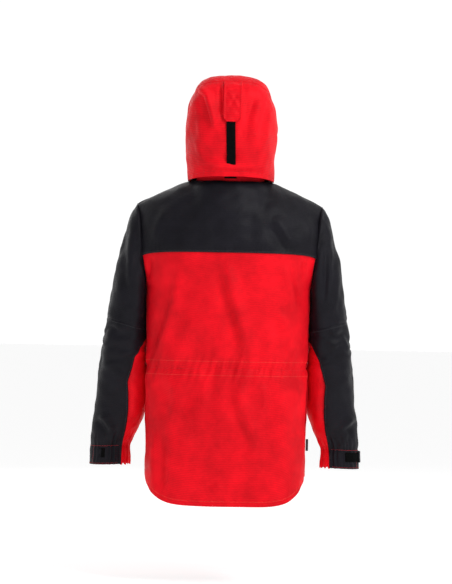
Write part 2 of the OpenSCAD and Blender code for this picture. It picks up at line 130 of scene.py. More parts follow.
def edge_angle(z, side):
    d = ARM_D * np.sqrt(np.clip(1 - (np.maximum(0, YOKE_Z - z) / (YOKE_Z - ARMPIT_Z)) ** 2, 0, 1))
    share = np.clip(np.where(z <= ARMPIT_Z, 0, d) / depth(z, side), 1e-4, 1)
    return np.degrees(np.arctan((share**-2.5 - 1) ** 0.4))


def body_point(z, b, side):
    px, py = squircle(b)
    return np.stack([half_w(z) * px, MID_Y + side * depth(z, side) * py, z + 0 * px], -1)


def hem_z(u, side):
    a = np.clip(np.abs(u), 0, 1)
    if side > 0:
        share = squircle(90 * a)[0]
        return mix(SIDE_HEM_Z, HEM_Z, np.maximum(0, 1 - share**6) ** 0.7)
    return SIDE_HEM_Z - 6 * (1 - a * a)


def lower_point(u, v, side):
    z = mix(hem_z(u, side), YOKE_Z - YOKE_DIP * np.abs(u) ** 4, v)
    return body_point(z, u * edge_angle(z, side), side)


def yoke_point(u, s, side):
    a = lower_point(u, 1 + 0 * u, side)
    q = np.clip(np.abs(u) / U_NECK, 0, 1)
    r = np.clip((np.abs(u) - U_NECK) / (1 - U_NECK), 0, 1)
    low, mid = (0, 4) if side > 0 else (-60, front_y(-60))
    arc = np.sqrt(1 - q * q)
    inner = np.abs(u) < U_NECK
    x = np.where(inner, NECK[0] * q, mix(NECK[0], SHOULDER[0], r)) * np.sign(u)
    y = np.where(inner, mix(NECK[1], mid, arc), mix(NECK[1], MID_Y, r))
    z = np.where(inner, mix(NECK[2], low, arc**1.5), mix(NECK[2], SHOULDER[2], r**1.2))
    c, d = cosd(90 * s), sind(90 * s)
    e = c if side > 0 else mix(1 - d, c, smooth((np.abs(u) - 0.1) / 0.5))
    return np.stack([mix(x, a[..., 0], c), mix(y, a[..., 1], e), mix(a[..., 2], z, d)], -1)


def collar_point(a, h):
    s, c = sind(a), cosd(a)
    w = mix(NECK[0] - 6, NECK[0] - 16, h)
    base = np.where(c > 0, mix(7, 3, np.abs(c)), mix(7, -57, np.abs(c) ** 1.5))
    z = base + h * mix(62, 54, (1 - c) / 2)
    d = np.where(c > 0, mix(78, 70, h), -78 - front_y(z))
    return np.stack([w * s, -78 + d * c, z], -1)


TUCK = 60.0  # how fast the sleeve head runs in under the yoke, above row 0
# Rows down the sleeve: outer edge x and z, inner edge x and z, middle front to back, half depth
SLEEVE = [
    (243, -62, 217, -275, -85, 58), (262, -92, 222, -292, -86, 62), (276, -150, 223, -312, -88, 65),
    (292, -215, 222, -340, -92, 67), (304, -290, 221, -362, -97, 68), (314, -356, 221, -384, -104, 68),
    (326, -450, 218, -462, -118, 66), (334, -520, 211, -528, -130, 64), (340, -580, 208, -584, -141, 62),
    (348, -640, 226, -640, -152, 58), (352, -697, 250, -694, -163, 50), (355, -748, 250, -744, -168, 51),
]


def sleeve_point(s, f):
    tuck = TUCK * np.minimum(0, s)
    s = np.maximum(0, s)
    k = [curve(s, [(i, row[n]) for i, row in enumerate(SLEEVE)]) for n in range(6)]
    dip = 19 * np.minimum(0, cosd(f)) ** 2 * (1 - smooth(s / 2))
    x = (k[0] + k[2]) / 2 + (k[0] - k[2]) / 2 * sind(f) - dip + tuck
    return np.stack([x, k[4] + k[5] * cosd(f), (k[1] + k[3]) / 2 + (k[1] - k[3]) / 2 * sind(f)], -1)


# Middle line of the hood from nape to forehead: share of the way, then front to back or height
HOOD_Y = [
    (0, 38), (0.12, 54), (0.3, 66), (0.45, 62), (0.58, 44), (0.7, 2), (0.8, -52), (0.9, -112), (1, -160),
]
HOOD_Z = [
    (0, 12), (0.12, 58), (0.3, 132), (0.45, 196), (0.58, 244), (0.7, 273), (0.8, 277), (0.9, 271), (1, 253),
]
HOOD_ARC = 560  # length of that line


def hood_point(a, b):
    n = np.interp(a, [0, 0.3, 0.6, 1], [2.6, 3.2, 4.2, 3.4])
    px, py = squircle(b, n)
    w = (119 + 4 * smooth((a - 0.36) / 0.12) * smooth((0.62 - a) / 0.08)) * mix(0.62, 1, smooth(py / 0.5))
    return np.stack([w * px, mix(-152, curve(a, HOOD_Y), py), mix(-5, curve(a, HOOD_Z), py)], -1)


# ---------------------------------------------------------------- folds


def waves(p, seed, size, parts=7):
    """Smooth random height between about -1 and 1, with features of that size in millimetres."""
    rng = np.random.default_rng(seed)
    total = 0
    for _ in range(parts):
        k = rng.normal(size=p.shape[-1])
        k *= rng.uniform(0.6, 1.5) * 2 * np.pi / size / np.linalg.norm(k)
        total = total + np.sin(p @ k + rng.uniform(0, 6.283))
    return total / parts**0.5 / 1.4


def folds(q, items):
    """Heights of folds on flat coordinates q: items are (points, width, height, "ridge" or "crease")."""
    total = np.zeros(q.shape[:-1])
    for points, width, height, kind in items:
        pts = np.array(points, float)
        seg = np.linalg.norm(np.diff(pts, axis=0), axis=1)
        start = np.concatenate([[0], np.cumsum(seg)])
        best = np.full(q.shape[:-1], 1e9)
        side = np.zeros(q.shape[:-1])
        along = np.zeros(q.shape[:-1])
        for i, length in enumerate(seg):
            d = (pts[i + 1] - pts[i]) / length
            rel = q - pts[i]
            t = rel @ d
            inside = np.clip(t, 0, length)
            off = np.linalg.norm(rel - inside[..., None] * d, axis=-1)
            s = rel[..., 0] * d[1] - rel[..., 1] * d[0]
            closer = off < best
            best = np.where(closer, off, best)
            side = np.where(closer, s, side)
            along = np.where(closer, (start[i] + t) / start[-1], along)
        env = smooth(along / 0.3) * smooth((1 - along) / 0.3)
        r = side / width
        if kind == "ridge":
            shape = np.exp(-(r**2))
        else:
            shape = r * np.exp(0.5 - r**2 / 2)
        total += height * env * shape * bell(np.maximum(0, best - np.abs(side)), width)
    return total


# ---------------------------------------------------------------- panels: grids of points that become cloth


class Panel:
    def __init__(self, points, wrap=False, centre=None):
        self.p, self.wrap = points, wrap
        n = self.cross()
        out = points - (points.mean(1, keepdims=True) if centre is None else np.array(centre, float))
        self.sign = 1 if (n * out).sum() > 0 else -1
        self.n = n * self.sign

    def cross(self):
        dv = np.gradient(self.p, axis=0)
        if self.wrap:
            du = np.roll(self.p, -1, 1) - np.roll(self.p, 1, 1)
        else:
            du = np.gradient(self.p, axis=1)
        n = np.cross(dv, du)
        return n / np.maximum(np.linalg.norm(n, axis=-1, keepdims=True), 1e-9)

    def push(self, height):
        self.p = self.p + self.n * np.asarray(height)[..., None]
        self.n = self.cross() * self.sign
        return self

    def at(self, r, c):
        """Points and normals at shares r of the rows and c of the columns."""
        rows, cols = self.p.shape[:2]
        r = np.clip(np.asarray(r, float), 0, 1) * (rows - 1)
        if self.wrap:
            c = np.asarray(c, float) * cols
            j0 = np.floor(c).astype(int)
            tc = c - j0
            j0, j1 = j0 % cols, (j0 + 1) % cols
        else:
            c = np.clip(np.asarray(c, float), 0, 1) * (cols - 1)
            j0 = np.minimum(c.astype(int), cols - 2)
            tc = c - j0
            j1 = j0 + 1
        i0 = np.minimum(r.astype(int), rows - 2)
        tr = r - i0
        found = []
        for g in (self.p, self.n):
            a = g[i0, j0] * (1 - tc)[..., None] + g[i0, j1] * tc[..., None]
            b = g[i0 + 1, j0] * (1 - tc)[..., None] + g[i0 + 1, j1] * tc[..., None]
            found.append(a * (1 - tr)[..., None] + b * tr[..., None])
        return found


def grid(f, us, vs, **kw):
    u, v = np.meshgrid(us, vs)
    return Panel(f(u, v), **kw)


def count(length, cell=None):
    return max(3, int(round(length / (cell or CELL))) + 1)


def mirrored(panel):
    """The same panel on the wearer's other side."""
    other = Panel.__new__(Panel)
    flip = np.array([-1.0, 1, 1])
    other.p, other.n, other.wrap, other.sign = panel.p * flip, panel.n * flip, panel.wrap, -panel.sign
    return other


def on_side(panel, sign):
    """A panel made for the wearer's left, moved to the side asked for."""
    return panel if sign > 0 else mirrored(panel)


def mesh_object(name, verts, faces, material, uv=None):
    mesh = bpy.data.meshes.new(name)
    mesh.from_pydata([tuple(v) for v in np.asarray(verts) * MM], [], faces)
    mesh.validate()
    mesh.polygons.foreach_set("use_smooth", [True] * len(mesh.polygons))
    if uv is not None:
        layer = mesh.uv_layers.new(name="cloth")
        layer.data.foreach_set("uv", np.asarray(uv, float).ravel())
    mesh.materials.append(material)
    obj = bpy.data.objects.new(name, mesh)
    bpy.context.scene.collection.objects.link(obj)
    return obj


def cloth(name, panel, material, thick=1.4):
    """The panel as a piece of cloth that lies inwards of its points."""
    p = panel.p
    rows, cols = p.shape[:2]
    last = cols if panel.wrap else cols - 1
    across = np.concatenate([p, p[:, :1]], 1) if panel.wrap else p
    du = np.linalg.norm(np.diff(across, axis=1), axis=-1)
    u = np.concatenate([np.zeros((rows, 1)), np.cumsum(du, 1)], 1)
    u -= u[:, u.shape[1] // 2][:, None]
    dv = np.linalg.norm(np.diff(p, axis=0), axis=-1)
    v = np.concatenate([np.zeros((1, cols)), np.cumsum(dv, 0)], 0)
    v = np.concatenate([v, v[:, :1]], 1) if panel.wrap else v
    i, j = np.meshgrid(np.arange(rows - 1), np.arange(last), indexing="ij")
    i, j = i.ravel(), j.ravel()
    k = (j + 1) % cols
    quads = np.stack([i * cols + j, i * cols + k, (i + 1) * cols + k, (i + 1) * cols + j], 1)
    corners = np.stack(
        [
            np.stack([u[i, j], v[i, j]], -1),
            np.stack([u[i, j + 1], v[i, j + 1]], -1),
            np.stack([u[i + 1, j + 1], v[i + 1, j + 1]], -1),
            np.stack([u[i + 1, j], v[i + 1, j]], -1),
        ],
        1,
    )
    if panel.sign > 0:
        quads, corners = quads[:, ::-1], corners[:, ::-1]
    obj = mesh_object(name, p.reshape(-1, 3), quads.tolist(), material, corners * MM)
    mod = obj.modifiers.new("thickness", "SOLIDIFY")
    mod.thickness, mod.offset, mod.use_rim = thick * MM, -1, True
    return obj


def sewing(name, lines, material, pitch=3.8, share=0.68, radius=0.42):
    """Sewn stitches along lines of (points, normals)."""
    verts, faces = [], []
    for pts, nrm in lines:
        step = np.linalg.norm(np.diff(pts, axis=0), axis=1)
        along = np.concatenate([[0], np.cumsum(step)])
        for k in range(int(along[-1] // pitch)):
            a = k * pitch + pitch * (1 - share) / 2
            at = [a, a + pitch * share / 2, a + pitch * share]
            p = np.array([[np.interp(x, along, pts[:, c]) for c in range(3)] for x in at])
            n = np.array([np.interp(at[1], along, nrm[:, c]) for c in range(3)])
            n /= np.linalg.norm(n)
            side = np.cross(p[2] - p[0], n)
            side /= max(np.linalg.norm(side), 1e-9)
            base = len(verts)
            for m, (lift, wide) in enumerate([(-0.25, 0.5), (radius * 0.9, 1), (-0.25, 0.5)]):
                c = p[m] + n * lift
                r = radius * wide
                verts += [c + side * r, c + n * r, c - side * r, c - n * r]
            for m in (0, 4):
                for q in range(4):
                    i, j = base + m + q, base + m + (q + 1) % 4
                    faces.append([i, j, j + 4, i + 4])
    return mesh_object(name, verts, faces, material)


# ---------------------------------------------------------------- materials


def node_material(name, colour, roughness, **fixed):
    mat = bpy.data.materials.new(name)
    mat.use_nodes = True
    mat.diffuse_color = (*colour, 1)
    bsdf = mat.node_tree.nodes["Principled BSDF"]
    bsdf.inputs["Base Color"].default_value = (*colour, 1)
    bsdf.inputs["Roughness"].default_value = roughness
    for socket, value in fixed.items():
        bsdf.inputs[socket.replace("_", " ")].default_value = value
    return mat, bsdf


def link(mat, a, b):
    mat.node_tree.links.new(a, b)


def add(mat, kind, **values):
    n = mat.node_tree.nodes.new(kind)
    for key, value in values.items():
        if hasattr(n, key):
            setattr(n, key, value)
        else:
            n.inputs[key.replace("_", " ")].default_value = value
    return n


def tinted(mat, bsdf, colour, light, dark, height, blotch=14.0):
    """Base colour that varies slowly over the cloth, with painted shade in the valleys of the weave and
    painted highlight on its ridges.
    """
    coords = add(mat, "ShaderNodeTexCoord")
    noise = add(mat, "ShaderNodeTexNoise", Scale=blotch, Detail=4.0, Roughness=0.6)
    link(mat, coords.outputs["Object"], noise.inputs["Vector"])
    ramp = add(mat, "ShaderNodeValToRGB")
    ramp.color_ramp.elements[0].color = (*[c * dark for c in colour], 1)
    ramp.color_ramp.elements[0].position = 0.3
    ramp.color_ramp.elements[1].color = (*[min(1, c * light) for c in colour], 1)
    ramp.color_ramp.elements[1].position = 0.7
    link(mat, noise.outputs["Fac"], ramp.inputs["Fac"])
    # painted shade and highlight: the base colour runs from 0.8 times in the low spots of the height to 1.06
    # times on its high spots
    painted_relief_shade = add(mat, "ShaderNodeMapRange", From_Min=0.0, From_Max=1.0, To_Min=0.8, To_Max=1.06)
    link(mat, height, painted_relief_shade.inputs["Value"])
    mult = add(mat, "ShaderNodeMix", data_type="RGBA", blend_type="MULTIPLY")
    mult.inputs[0].default_value = 1
    link(mat, ramp.outputs["Color"], mult.inputs[6])
    link(mat, painted_relief_shade.outputs["Result"], mult.inputs[7])
    link(mat, mult.outputs[2], bsdf.inputs["Base Color"])


def woven(name, colour, roughness, rib=4.6, thread=1.3, depth=0.3, light=1.1, dark=0.88, crumple=0.5,
          solid=False, **fixed):
    """Ribbed weave: crosswise ribs, finer lengthwise threads, and a soft crumple."""
    mat, bsdf = node_material(name, colour, roughness, **fixed)
    if solid:
        across, up, where = "X", "Z", add(mat, "ShaderNodeTexCoord").outputs["Object"]
    else:
        across, up, where = "X", "Y", add(mat, "ShaderNodeUVMap", uv_map="cloth").outputs["UV"]
    warp = add(mat, "ShaderNodeTexNoise", Scale=60.0, Detail=2.0)
    link(mat, where, warp.inputs["Vector"])
    nudge = add(mat, "ShaderNodeVectorMath", operation="SCALE", Scale=0.0006)
    link(mat, warp.outputs["Color"], nudge.inputs[0])
    moved = add(mat, "ShaderNodeVectorMath", operation="ADD")
    link(mat, where, moved.inputs[0])
    link(mat, nudge.outputs["Vector"], moved.inputs[1])
    ribs = add(mat, "ShaderNodeTexWave", bands_direction=up, Scale=314.0 / rib, Distortion=0.0)
    threads = add(mat, "ShaderNodeTexWave", bands_direction=across, Scale=314.0 / thread, Distortion=0.0)
    for w in (ribs, threads):
        link(mat, moved.outputs["Vector"], w.inputs["Vector"])
    both = add(mat, "ShaderNodeMath", operation="MULTIPLY_ADD")
    both.inputs[1].default_value = 0.3
    link(mat, threads.outputs["Fac"], both.inputs[0])
    part = add(mat, "ShaderNodeMath", operation="MULTIPLY")
    part.inputs[1].default_value = 0.7
    link(mat, ribs.outputs["Fac"], part.inputs[0])
    link(mat, part.outputs["Value"], both.inputs[2])
    # the weave's height paints shade into its valleys and highlight onto its ribs
    tinted(mat, bsdf, colour, light, dark, both.outputs["Value"])
    coords = add(mat, "ShaderNodeTexCoord")
    creased = add(mat, "ShaderNodeTexNoise", Scale=38.0, Detail=5.0, Roughness=0.62, Distortion=0.4)
    link(mat, coords.outputs["Object"], creased.inputs["Vector"])
    soft = add(mat, "ShaderNodeBump", Strength=crumple, Distance=0.003)
    link(mat, creased.outputs["Fac"], soft.inputs["Height"])
    bump = add(mat, "ShaderNodeBump", Strength=0.7, Distance=depth * MM)
    link(mat, both.outputs["Value"], bump.inputs["Height"])
    link(mat, soft.outputs["Normal"], bump.inputs["Normal"])
    link(mat, bump.outputs["Normal"], bsdf.inputs["Normal"])
    rough = add(mat, "ShaderNodeMapRange", To_Min=roughness - 0.08, To_Max=roughness + 0.1)
    link(mat, creased.outputs["Fac"], rough.inputs["Value"])
    link(mat, rough.outputs["Result"], bsdf.inputs["Roughness"])
    return mat


def grainy(name, colour, roughness, scale, height, light=1.2, dark=0.75, **fixed):
    """Moulded plastic, enamel, plated metal or fuzz: fine grain in object space."""
    mat, bsdf = node_material(name, colour, roughness, **fixed)
    coords = add(mat, "ShaderNodeTexCoord")
    noise = add(mat, "ShaderNodeTexNoise", Scale=scale, Detail=6.0, Roughness=0.65)
    link(mat, coords.outputs["Object"], noise.inputs["Vector"])
    # the grain's height paints shade into its low spots and highlight onto its bumps
    tinted(mat, bsdf, colour, light, dark, noise.outputs["Fac"], blotch=scale / 9)
    bump = add(mat, "ShaderNodeBump", Strength=0.6, Distance=height * MM)
    link(mat, noise.outputs["Fac"], bump.inputs["Height"])
    link(mat, bump.outputs["Normal"], bsdf.inputs["Normal"])
    rough = add(mat, "ShaderNodeMapRange", To_Min=max(0.05, roughness - 0.1), To_Max=min(1, roughness + 0.12))
    link(mat, noise.outputs["Fac"], rough.inputs["Value"])
    link(mat, rough.outputs["Result"], bsdf.inputs["Roughness"])
    return mat


RED = (0.77, 0.004, 0.0125)
BLACK = (0.0068, 0.0062, 0.0095)
red_cloth = woven("red_shell", RED, 0.52, light=1.22, dark=0.8, Sheen_Weight=0.01, Sheen_Roughness=0.4,
                  Specular_IOR_Level=0.08)
black_cloth = woven("black_shell", BLACK, 0.5, light=1.35, dark=0.75, Sheen_Weight=0.01, Sheen_Roughness=0.35,
                    Specular_IOR_Level=0.12)
lining_cloth = woven("lining", (0.018, 0.018, 0.022), 0.42, rib=0.8, thread=0.8, depth=0.08, crumple=0.3,
                     Specular_IOR_Level=0.5)
webbing = woven("webbing", (0.012, 0.012, 0.014), 0.7, rib=1.6, thread=2.2, depth=0.4, crumple=0.1,
                solid=True)
elastic_cloth = woven("elastic", (0.02, 0.02, 0.024), 0.75, rib=1.2, thread=3.0, depth=0.5, crumple=0.1)
THREAD = dict(rib=0.5, thread=0.5, depth=0.1, crumple=0.0)
red_thread = woven("red_thread", (0.55, 0.012, 0.016), 0.6, **THREAD)
pale_red_thread = woven("pale_red_thread", (0.92, 0.10, 0.06), 0.6, **THREAD)
black_thread = woven("black_thread", (0.05, 0.05, 0.055), 0.55, **THREAD)
fuzz = grainy("hook_and_loop", (0.003, 0.003, 0.003), 0.95, 1400.0, 1.2, Specular_IOR_Level=0.05)
braid = woven("cord", (0.012, 0.012, 0.012), 0.7, rib=1.0, thread=1.0, depth=0.3, solid=True)
plastic = grainy("black_plastic", (0.016, 0.016, 0.018), 0.42, 900.0, 0.05, Specular_IOR_Level=0.5)
dark_metal = grainy("dark_metal", (0.03, 0.03, 0.034), 0.3, 500.0, 0.02, Metallic=0.85)
cap_metal = grainy("snap_cap", (0.035, 0.034, 0.04), 0.34, 500.0, 0.02, Metallic=0.6)
bright_metal = grainy("bright_metal", (0.62, 0.62, 0.64), 0.28, 700.0, 0.02, Metallic=1.0)


# ---------------------------------------------------------------- the body


def put(obj, slot, body, *nodes):
    """Hide the nodes the piece stands for and attach it to its body; a piece given a pair of bodies only has
    its transform baked. The slot is not used.
    """
    if nodes:
        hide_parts(*nodes)
    if isinstance(body, tuple):
        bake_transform(obj)
    else:
        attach(obj, body)
    return obj


def lines(panel, rows, cols, n=400, lift=0.0):
    """A sewing line over the panel: rows and cols are shares, either may be a function of the other."""
    t = np.linspace(0, 1, n)
    r = rows(t) if callable(rows) else rows + 0 * t
    c = cols(t) if callable(cols) else cols + 0 * t
    p, m = panel.at(r, c)
    return p + m * lift, m


def level(panel, z, c0=0.0, c1=1.0, n=500):
    """A sewing line that follows the panel at height z."""
    cols = np.linspace(c0, c1, n)
    heights = panel.p[..., 2]
    j = np.clip((cols * (heights.shape[1] - 1)).round().astype(int), 0, heights.shape[1] - 1)
    rows = []
    for k in j:
        column = heights[:, k]
        order = np.argsort(column)
        rows.append(np.interp(z, column[order], order / (len(column) - 1)))
    return panel.at(np.array(rows), cols)


def puckers(x, d, width, size, amount, seed):
    """Small gathers beside a row of stitches: d is the distance from it, size the gathers' width."""
    rng = np.random.default_rng(seed)
    total = 0
    for _ in range(5):
        total = total + np.sin(x * 2 * np.pi / (size * rng.uniform(0.7, 1.5)) + rng.uniform(0, 6.283))
    return amount * total / 2.2 * bell(d, width)


BACK_FOLDS = [
    ([(30, -187), (10, -260), (-13, -336), (-36, -416), (-56, -482)], 15, 5.5, "crease"),
    ([(136, -213), (150, -317), (166, -367), (186, -436), (193, -478)], 12, 3.5, "crease"),
    ([(208, -195), (209, -230), (209, -262)], 7, -3.0, "ridge"),
    ([(-152, -200), (-178, -299), (-185, -335)], 13, -3.4, "crease"),
    ([(-198, -198), (-198, -255)], 7, -3.0, "ridge"),
    ([(-120, -330), (-150, -400), (-170, -455)], 14, 2.6, "crease"),
    ([(95, -330), (120, -400), (135, -470)], 16, 2.0, "crease"),
    ([(-7, -508), (-25, -576), (-60, -663), (-81, -725)], 14, 4.6, "crease"),
    ([(10, -523), (-25, -628), (-94, -774)], 12, 1.6, "ridge"),
    ([(-94, -520), (-101, -560), (-101, -596)], 9, 2.6, "ridge"),
    ([(174, -640), (175, -730), (172, -825)], 10, -4.0, "crease"),
    ([(60, -520), (95, -610), (110, -700)], 20, 2.6, "crease"),
    ([(150, -510), (140, -570), (150, -630)], 14, 2.4, "crease"),
    ([(52, -794), (17, -776), (-25, -797)], 7, -1.5, "ridge"),
    ([(-150, -520), (-130, -620), (-135, -720)], 22, 2.8, "crease"),
]


CORD_Z = -484.0  # the drawcord, in the middle of the waist channel
CHANNEL_EDGES = (-466.0, -502.0)
FOLD_GAIN = 1.7
HOOD_FOLD_GAIN = 1.6
LINING_DEPTH = 4  # how far a fold of the hood may go in before it meets the lining


def body_heights(panel, items, seed):
    q = panel.p[..., [0, 2]]
    x, z = q[..., 0], q[..., 1]
    h = FOLD_GAIN * folds(q, items) + 1.8 * waves(panel.p, seed, 130) + 0.6 * waves(panel.p, seed + 1, 42)
    h += 2.2 * smooth((-500 - z) / 120) * np.sin(x / 27 + 1.2 * np.sin(z / 90) + 0.6) * 0.5
    cord = z - CORD_Z + 2.5 * np.sin(x / 37 + seed)
    patchy = 0.35 + 0.65 * smooth(waves(panel.p, seed + 6, 70) + 0.5)
    h += -3.4 * bell(cord, 15) + 2.2 * patchy * puckers(x + 0.25 * z, cord, 15, 12, 1, seed + 2)
    h += puckers(x + 0.3 * z, cord, 34, 24, 1.8, seed + 3) + puckers(x, z + 525, 60, 46, 1.6, seed + 5)
    h += puckers(x, z + 440, 50, 52, 1.1, seed + 8) - 1.3 * patchy * bell(cord, 2.2)
    for edge_z in CHANNEL_EDGES:
        h -= 0.5 * bell(z - edge_z, 1.6)
    h += puckers(x, YOKE_Z - z, 14, 10, 0.3, seed + 4)
    return h


def back_cloth():
    us = np.linspace(-1, 1, count(470))
    vs = np.linspace(0, 1, count(640))
    panel = grid(lambda u, v: lower_point(u, v, 1), us, vs, centre=(0, MID_Y, -500))
    h = body_heights(panel, BACK_FOLDS, 5)
    edge = panel.p[..., 2] - hem_z(us[None, :] + 0 * h, 1)
    h += puckers(panel.p[..., 0], edge - 13, 12, 12, 0.35, 31) + 0.5 * bell(edge - 5, 8)
    h += -0.5 * bell(edge - 13, 1.6)
    return panel.push(h)


back = back_cloth()
put(cloth("back_cloth", back, red_cloth, 1.6), "red_shell", "jacket", "back_panel")

hem_lines = [lines(back, lambda t: 0.02 + 0 * t, lambda t: 0.01 + 0.98 * t, 700, 0.1)]
waist_lines = [level(back, z, 0.03, 0.97) for z in CHANNEL_EDGES]
put(sewing("back_stitches", hem_lines + waist_lines, pale_red_thread, 3.6), "red_shell", "jacket")
gather_lines = [level(back, CORD_Z - 2, 0.04, 0.96)]
put(sewing("waist_gather_stitches", gather_lines, red_thread, 3.6), "red_shell", "jacket")

YOKE_FOLDS = [
    ([(143, -75), (167, -91), (186, -128), (196, -171)], 13, 3.2, "ridge"),
    ([(-103, -94), (-125, -125), (-146, -157), (-167, -176)], 12, 3.0, "crease"),
    ([(60, -40), (20, -95), (30, -160)], 26, 1.6, "crease"),
    ([(-60, -60), (-80, -120), (-60, -170)], 22, 1.4, "crease"),
    ([(110, -60), (120, -110), (100, -165)], 20, 1.2, "crease"),
    ([(-190, -80), (-205, -120), (-208, -165)], 10, 2.4, "ridge"),
]


def softened(points, width):
    """The points averaged along each row, over that many neighbours on both sides."""
    padded = np.pad(points, ((0, 0), (width, width), (0, 0)), mode="reflect", reflect_type="odd")
    kernel = np.hanning(2 * width + 3)[1:-1]
    return sum(k * padded[:, i : i + points.shape[1]] for i, k in enumerate(kernel)) / kernel.sum()


def yoke_cloth(side, us, seed, items):
    """Yoke with a strip that laps over the cloth below the seam."""
    low = np.array([0.005, 0.0025, 0.0002])
    ss = np.linspace(0.004, 1, count(190))
    u, d = np.meshgrid(us, low)
    under = lower_point(u, 1 - d, side)
    u, s = np.meshgrid(us, ss)
    panel = Panel(np.concatenate([under, yoke_point(u, s, side)]), centre=(0, MID_Y, -140))
    share = np.concatenate([0 * low, np.minimum(1, (1 - ss) / 0.12)])[:, None, None]
    panel.p = mix(panel.p, softened(panel.p, max(1, count(26) // 2)), share)
    panel.push(0 * panel.p[..., 0])
    x, z = panel.p[..., 0], panel.p[..., 2]
    h = FOLD_GAIN * folds(panel.p[..., [0, 2]], items) * smooth((z + 190) / 22)
    h += (2.0 * waves(panel.p, seed, 110) + 0.8 * waves(panel.p, seed + 1, 45)) * smooth((z + 193) / 25)
    h += puckers(x, z + 178, 14, 10, 0.28, seed + 4)
    h -= 0.45 * (bell(z + 179, 1.5) + bell(z + 173, 1.5))
    return panel.push(1.9 + h)


yoke = yoke_cloth(1, np.linspace(-1, 1, count(480)), 41, YOKE_FOLDS)
put(cloth("yoke_cloth", yoke, black_cloth, 1.6), "black_shell", "jacket", "back_yoke")
yoke_lines = [lines(yoke, r, lambda t: 0.02 + 0.96 * t, 600, 0.05) for r in (0.014, 0.045)]
put(sewing("yoke_stitches", yoke_lines, black_thread, 3.4), "black_shell", "jacket")

FRONT_FOLDS = [
    ([(60, -210), (90, -300), (110, -400), (120, -478)], 18, 4.0, "crease"),
    ([(170, -240), (160, -330), (176, -430)], 14, 3.0, "crease"),
    ([(60, -520), (52, -620), (58, -740)], 16, 2.6, "crease"),
    ([(175, -520), (168, -620), (178, -740)], 14, 2.6, "crease"),
]
U_ZIP = 9 / 265

for side_name, sign in (("left", 1), ("right", -1)):
    us = np.linspace(1, U_ZIP, count(240)) * sign
    vs = np.linspace(0, 1, count(585))
    panel = grid(lambda u, v: lower_point(u, v, -1), us, vs, centre=(0, MID_Y, -500))
    items = [([(sign * x, z) for x, z in pts], w, t, k) for pts, w, t, k in FRONT_FOLDS]
    h = body_heights(panel, items, 61 + sign)
    x, z = panel.p[..., 0], panel.p[..., 2]
    flat = smooth((np.abs(x) - 44) / 20)
    behind = smooth((np.abs(x) - 50) / 20) * smooth((158 - np.abs(x)) / 20)
    behind = behind * smooth((-510 - z) / 20) * smooth((z + 725) / 20)
    h = h * flat * (1 - behind)
    panel.push(h)
    put(cloth("front_cloth_" + side_name, panel, red_cloth, 1.6), None, "jacket",
        "front_panel_" + side_name)
    rows = [lines(panel, 0.022, lambda t: 0.02 + 0.96 * t, 300, 0.1)]
    rows += [level(panel, z, 0.03, 0.8) for z in CHANNEL_EDGES]
    put(sewing("front_stitches_" + side_name, rows, pale_red_thread, 3.6), "red_shell", "jacket")

    yoke_front = yoke_cloth(-1, us, 71 + sign, [])
    shape = smooth((np.abs(yoke_front.p[..., 0]) - 40) / 16)
    yoke_front.push(-1.7 * (1 - shape))
    put(cloth("front_yoke_cloth_" + side_name, yoke_front, black_cloth, 1.6), None, "jacket",
        "front_yoke_" + side_name)
    rows = [lines(yoke_front, r, lambda t: 0.02 + 0.9 * t, 300, 0.05) for r in (0.014, 0.045)]
    put(sewing("front_yoke_stitches_" + side_name, rows, black_thread, 3.4), "black_shell", "jacket")


# collar, lining and waist channel
angles, heights = np.linspace(-172, 172, count(420)), np.linspace(-0.14, 1, count(66))
panel = grid(collar_point, angles, heights, centre=(0, -78, 20))
panel.push(0.8 * waves(panel.p, 81, 60) + 0.25 * waves(panel.p, 82, 20))
put(cloth("collar_cloth", panel, red_cloth, 2.6), "red_shell", "jacket", "collar")
put(sewing("collar_stitches", [lines(panel, r, lambda t: 0.01 + 0.98 * t, 500, 0.05) for r in (0.08, 0.9)],
           red_thread, 3.4), "red_shell", "jacket")


def around(angles, zs, inward, seed):
    """Cloth inside the body: the angle runs round from the back, in degrees."""
    a, z = np.meshgrid(angles, zs)
    back_side = np.abs(a) < 90
    b = np.where(back_side, a, np.sign(a) * 180 - a)
    p = np.where(back_side[..., None], body_point(z, b, 1), body_point(z, b, -1))
    panel = Panel(p, centre=(0, MID_Y, -500))
    return panel.push(-inward + 0.35 * waves(p, seed, 60))


panel = around(np.linspace(-171, 171, count(1100, 6)), np.linspace(-735, -292, count(440, 6)), 12, 91)
put(cloth("lining_cloth", panel, lining_cloth, 1.0), "lining", "jacket", "body_lining")
panel = around(np.linspace(-137, 137, count(900, 6)), np.linspace(-502, -480, 7), 16, 92)
put(cloth("waist_channel_cloth", panel, red_cloth, 1.0), "red_shell", "jacket", "waist_channel")

# ---------------------------------------------------------------- sleeves

